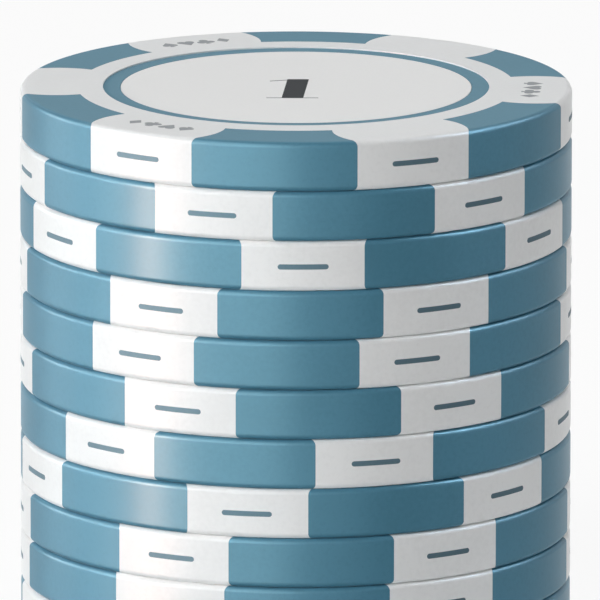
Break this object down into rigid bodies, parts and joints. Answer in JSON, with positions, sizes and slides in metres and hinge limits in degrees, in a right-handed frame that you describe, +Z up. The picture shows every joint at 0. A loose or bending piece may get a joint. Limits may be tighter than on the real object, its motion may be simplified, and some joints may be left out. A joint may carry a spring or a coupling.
{
  "type": "casino chip stack",
  "caption": "Straight stack of round weighted plastic casino chips, each with white edge spots, a recessed label on both faces and a steel slug inside; every chip lifts off the one below.",
  "frame": {"origin": "centre of the bottom face of the lowest chip, on the surface that the stack stands on", "axes": "+Z up along the axis of the stack, towards the top chip; -Y towards the picture's viewer, +X to the viewer's right"},
  "size_m": [0.04, 0.04, 0.0399],
  "materials": {
    "blue_plastic": "satin",
    "white_plastic": "satin",
    "slug_steel": "stamped",
    "label_vinyl": "printed"
  },
  "bodies": {
    "chip_01": {"chip_01_core": "blue_plastic", "chip_01_spots": "white_plastic", "chip_01_slug": "slug_steel", "chip_01_label_top": "label_vinyl", "chip_01_label_bottom": "label_vinyl"},
    "chip_02": {"chip_02_core": "blue_plastic", "chip_02_spots": "white_plastic", "chip_02_slug": "slug_steel", "chip_02_label_top": "label_vinyl", "chip_02_label_bottom": "label_vinyl"},
    "chip_03": {"chip_03_core": "blue_plastic", "chip_03_spots": "white_plastic", "chip_03_slug": "slug_steel", "chip_03_label_top": "label_vinyl", "chip_03_label_bottom": "label_vinyl"},
    "chip_04": {"chip_04_core": "blue_plastic", "chip_04_spots": "white_plastic", "chip_04_slug": "slug_steel", "chip_04_label_top": "label_vinyl", "chip_04_label_bottom": "label_vinyl"},
    "chip_05": {"chip_05_core": "blue_plastic", "chip_05_spots": "white_plastic", "chip_05_slug": "slug_steel", "chip_05_label_top": "label_vinyl", "chip_05_label_bottom": "label_vinyl"},
    "chip_06": {"chip_06_core": "blue_plastic", "chip_06_spots": "white_plastic", "chip_06_slug": "slug_steel", "chip_06_label_top": "label_vinyl", "chip_06_label_bottom": "label_vinyl"},
    "chip_07": {"chip_07_core": "blue_plastic", "chip_07_spots": "white_plastic", "chip_07_slug": "slug_steel", "chip_07_label_top": "label_vinyl", "chip_07_label_bottom": "label_vinyl"},
    "chip_08": {"chip_08_core": "blue_plastic", "chip_08_spots": "white_plastic", "chip_08_slug": "slug_steel", "chip_08_label_top": "label_vinyl", "chip_08_label_bottom": "label_vinyl"},
    "chip_09": {"chip_09_core": "blue_plastic", "chip_09_spots": "white_plastic", "chip_09_slug": "slug_steel", "chip_09_label_top": "label_vinyl", "chip_09_label_bottom": "label_vinyl"},
    "chip_10": {"chip_10_core": "blue_plastic", "chip_10_spots": "white_plastic", "chip_10_slug": "slug_steel", "chip_10_label_top": "label_vinyl", "chip_10_label_bottom": "label_vinyl"},
    "chip_11": {"chip_11_core": "blue_plastic", "chip_11_spots": "white_plastic", "chip_11_slug": "slug_steel", "chip_11_label_top": "label_vinyl", "chip_11_label_bottom": "label_vinyl"}
  },
  "joints": [
    {"name": "chip_02_lift", "type": "slide", "parent": "chip_01", "child": "chip_02", "axis": [0, 0, 1], "range_m": [0, 0.02]},
    {"name": "chip_03_lift", "type": "slide", "parent": "chip_02", "child": "chip_03", "axis": [0, 0, 1], "range_m": [0, 0.02]},
    {"name": "chip_04_lift", "type": "slide", "parent": "chip_03", "child": "chip_04", "axis": [0, 0, 1], "range_m": [0, 0.02]},
    {"name": "chip_05_lift", "type": "slide", "parent": "chip_04", "child": "chip_05", "axis": [0, 0, 1], "range_m": [0, 0.02]},
    {"name": "chip_06_lift", "type": "slide", "parent": "chip_05", "child": "chip_06", "axis": [0, 0, 1], "range_m": [0, 0.02]},
    {"name": "chip_07_lift", "type": "slide", "parent": "chip_06", "child": "chip_07", "axis": [0, 0, 1], "range_m": [0, 0.02]},
    {"name": "chip_08_lift", "type": "slide", "parent": "chip_07", "child": "chip_08", "axis": [0, 0, 1], "range_m": [0, 0.02]},
    {"name": "chip_09_lift", "type": "slide", "parent": "chip_08", "child": "chip_09", "axis": [0, 0, 1], "range_m": [0, 0.02]},
    {"name": "chip_10_lift", "type": "slide", "parent": "chip_09", "child": "chip_10", "axis": [0, 0, 1], "range_m": [0, 0.02]},
    {"name": "chip_11_lift", "type": "slide", "parent": "chip_10", "child": "chip_11", "axis": [0, 0, 1], "range_m": [0, 0.02]}
  ]
}
